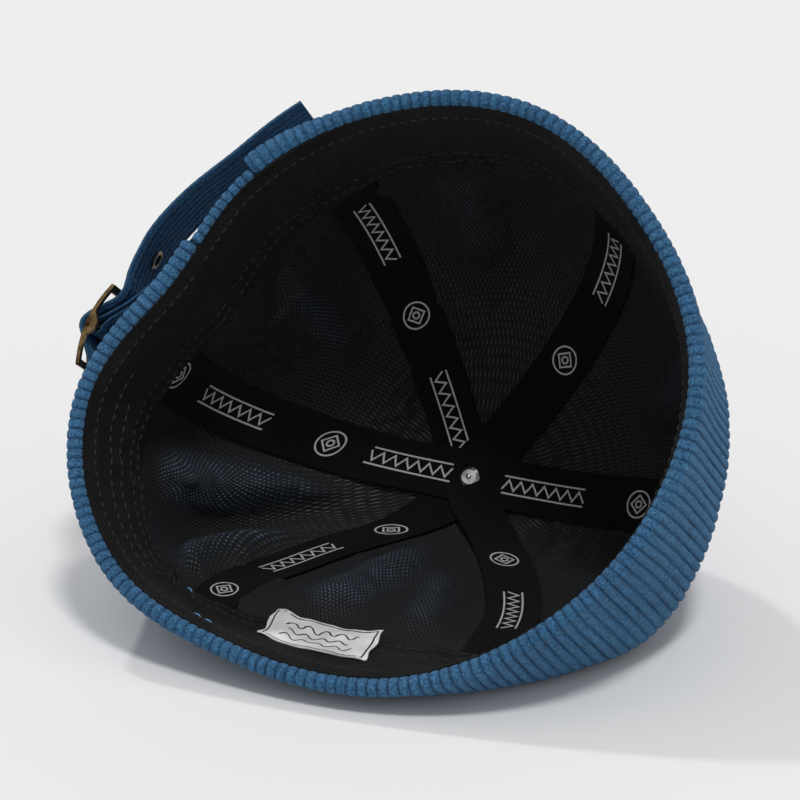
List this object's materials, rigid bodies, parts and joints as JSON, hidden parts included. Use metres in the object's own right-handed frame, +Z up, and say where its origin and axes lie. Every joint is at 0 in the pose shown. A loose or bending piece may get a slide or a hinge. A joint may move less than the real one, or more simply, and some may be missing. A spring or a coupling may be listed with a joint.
{
  "type": "docker cap",
  "caption": "Brimless round corduroy cap with a panelled crown, turned-up cuff, mesh lining, twill sweatband and a buckled rear strap, lying on its crown.",
  "frame": {"origin": "middle of the bounding box in plan, at the floor that the crown lies on", "axes": "+Z up from the floor; the opening faces -Y and up, and the rear strap is on the -X side"},
  "size_m": [0.2112, 0.1704, 0.1643],
  "materials": {
    "corduroy": "wide-wale corduroy",
    "mesh_lining": "fine knitted mesh",
    "seam_tape": "woven tape",
    "sweatband_twill": "twill",
    "interlining_felt": "felt",
    "label_satin": "woven satin",
    "antique_brass": "antiqued",
    "dark_eyelet": "darkened",
    "rivet_steel": "polished"
  },
  "bodies": {
    "cap": {"crown_panel_1": "corduroy", "crown_panel_2": "corduroy", "crown_panel_3": "corduroy", "crown_panel_4": "corduroy", "crown_panel_5": "corduroy", "crown_panel_6": "corduroy", "cuff_shell": "corduroy", "cuff_facing": "corduroy", "rear_binding": "corduroy", "strap_band": "corduroy", "buckle_tab": "corduroy", "crown_button": "corduroy", "lining_panel_1": "mesh_lining", "lining_panel_2": "mesh_lining", "lining_panel_3": "mesh_lining", "lining_panel_4": "mesh_lining", "lining_panel_5": "mesh_lining", "lining_panel_6": "mesh_lining", "seam_tape_1": "seam_tape", "seam_tape_2": "seam_tape", "seam_tape_3": "seam_tape", "seam_tape_4": "seam_tape", "seam_tape_5": "seam_tape", "seam_tape_6": "seam_tape", "sweatband": "sweatband_twill", "cuff_interlining": "interlining_felt", "woven_label": "label_satin", "eyelet_in_use": "dark_eyelet", "button_rivet": "rivet_steel"},
    "buckle": {"buckle_frame": "antique_brass"},
    "prong": {"buckle_prong": "antique_brass"},
    "tail": {"strap_tail": "corduroy", "eyelet_spare": "dark_eyelet"}
  },
  "joints": [
    {"name": "buckle_rock", "type": "hinge", "parent": "cap", "child": "buckle", "pos_m": [-0.09629, 0.03634, 0.0776], "axis": [-0.1941, -0.8032, 0.5632], "range_deg": [-1.5, 1.5]},
    {"name": "prong_pivot", "type": "hinge", "parent": "buckle", "child": "prong", "pos_m": [-0.09629, 0.03634, 0.0776], "axis": [0.1941, 0.8032, -0.5632], "range_deg": [0, 8]},
    {"name": "strap_tail_flap", "type": "hinge", "parent": "cap", "child": "tail", "pos_m": [-0.08725, 0.04352, 0.09095], "axis": [-0.1941, -0.8032, 0.5632], "range_deg": [0, 50]}
  ]
}
